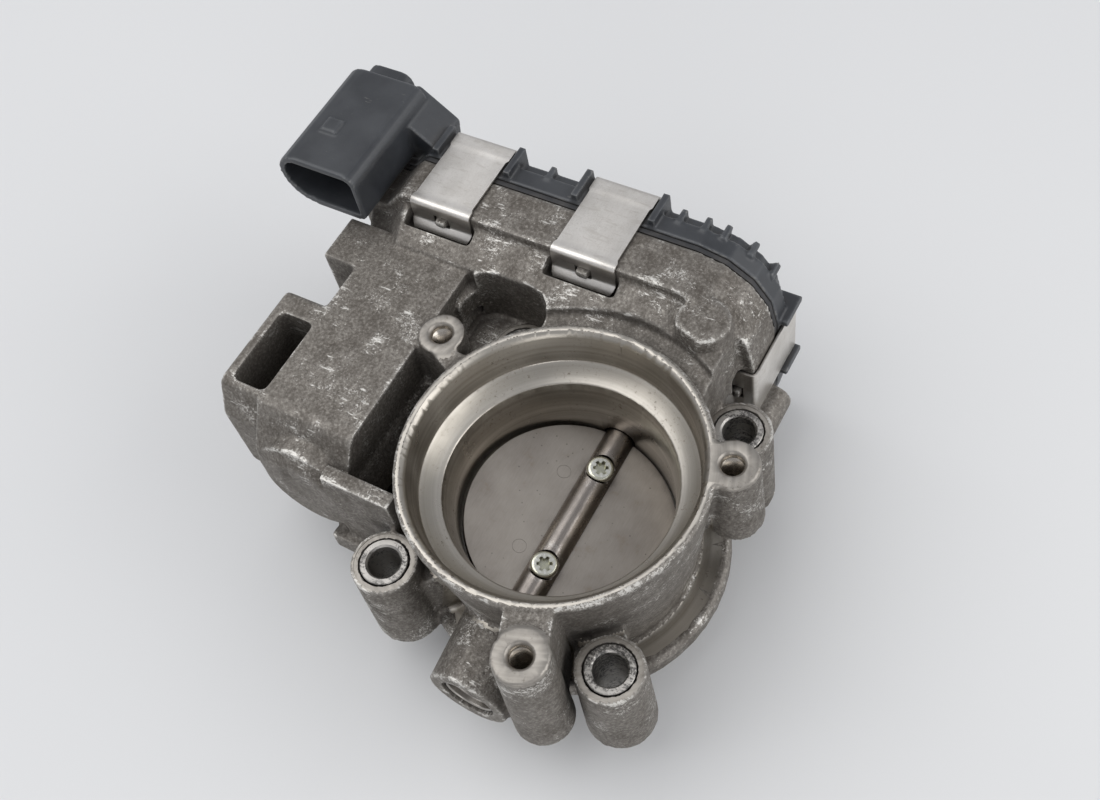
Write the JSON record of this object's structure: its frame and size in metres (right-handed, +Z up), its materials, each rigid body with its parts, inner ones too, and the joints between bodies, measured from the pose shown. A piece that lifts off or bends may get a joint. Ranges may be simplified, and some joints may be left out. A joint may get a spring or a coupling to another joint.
{
  "type": "throttle body",
  "caption": "Electronic throttle body: a cast bore with a disc valve on a cross shaft, turned by a geared electric motor under a clipped cover with a plug socket.",
  "frame": {"origin": "on the axis of the bore, at the face that bolts to the intake manifold", "axes": "+Z runs up the bore to the air inlet, +X along the throttle shaft to the gear cover, +Y across to the drive motor and the plug socket"},
  "size_m": [0.129, 0.1431, 0.0758],
  "materials": {
    "cast_aluminium": "die-cast aluminium, weathered grey with bright scuffs, machined at the bore",
    "black_plastic": "moulded black glass-filled plastic, satin",
    "steel_sleeve": "dull pressed steel",
    "plate_metal": "satin grey metal plate",
    "dark_steel": "polished dark steel",
    "plated_steel": "steel with a yellow-olive plating",
    "clip_steel": "stainless spring strip, matt with bright folds",
    "bearing_steel": "ground steel",
    "rubber": "black rubber",
    "gear_plastic": "natural moulded gear plastic",
    "ferrite": "dark sintered magnet",
    "brass": "plain brass",
    "tin_plate": "tinned metal",
    "winding": "laminated core with copper winding",
    "spring_steel": "dark spring steel",
    "circuit_board": "green circuit board"
  },
  "bodies": {
    "housing": {"throttle_housing": "cast_aluminium", "gear_cover": "black_plastic", "cover_seal": "rubber", "sensor_board": "circuit_board", "motor_can": "bearing_steel", "motor_magnet_upper": "ferrite", "motor_magnet_lower": "ferrite", "motor_brush_1": "ferrite", "motor_brush_2": "ferrite", "motor_face_plate": "tin_plate", "motor_terminal_1": "brass", "motor_terminal_2": "brass", "motor_screw_1": "plated_steel", "motor_screw_2": "plated_steel", "intermediate_gear_pin": "dark_steel", "return_spring": "spring_steel", "shaft_bearing_far": "bearing_steel", "shaft_bearing_gear": "bearing_steel", "shaft_seal": "rubber", "shaft_end_plug": "dark_steel", "mount_sleeve_1": "steel_sleeve", "mount_sleeve_2": "steel_sleeve", "mount_sleeve_3": "steel_sleeve", "mount_sleeve_4": "steel_sleeve", "cover_clip_1": "clip_steel", "cover_clip_2": "clip_steel", "cover_clip_3": "clip_steel", "connector_pin_1": "tin_plate", "connector_pin_2": "tin_plate", "connector_pin_3": "tin_plate", "connector_pin_4": "tin_plate", "connector_pin_5": "tin_plate", "connector_pin_6": "tin_plate"},
    "throttle": {"throttle_shaft": "dark_steel", "throttle_plate": "plate_metal", "plate_screw_1": "plated_steel", "plate_screw_2": "plated_steel", "sector_gear": "gear_plastic", "sensor_rotor": "ferrite"},
    "intermediate": {"intermediate_gear": "gear_plastic"},
    "motor_rotor": {"motor_armature": "winding", "motor_shaft": "bearing_steel", "motor_pinion": "brass"}
  },
  "joints": [
    {"name": "throttle_turn", "type": "hinge", "parent": "housing", "child": "throttle", "pos_m": [0, 0, 0.0137], "axis": [1, 0, 0], "range_deg": [-7, 75], "stiffness_Nm_per_rad": 0.1},
    {"name": "intermediate_turn", "type": "hinge", "parent": "housing", "child": "intermediate", "pos_m": [0, 0.03104, 0.02147], "axis": [1, 0, 0], "range_deg": [-192, 18]},
    {"name": "rotor_turn", "type": "hinge", "parent": "housing", "child": "motor_rotor", "pos_m": [0, 0.0585, 0.023], "axis": [1, 0, 0], "range_deg": [-72, 767]}
  ],
  "couplings": [
    {"joint": "intermediate_turn", "follows": "throttle_turn", "ratio": -2.5556},
    {"joint": "rotor_turn", "follows": "throttle_turn", "ratio": 10.222}
  ]
}
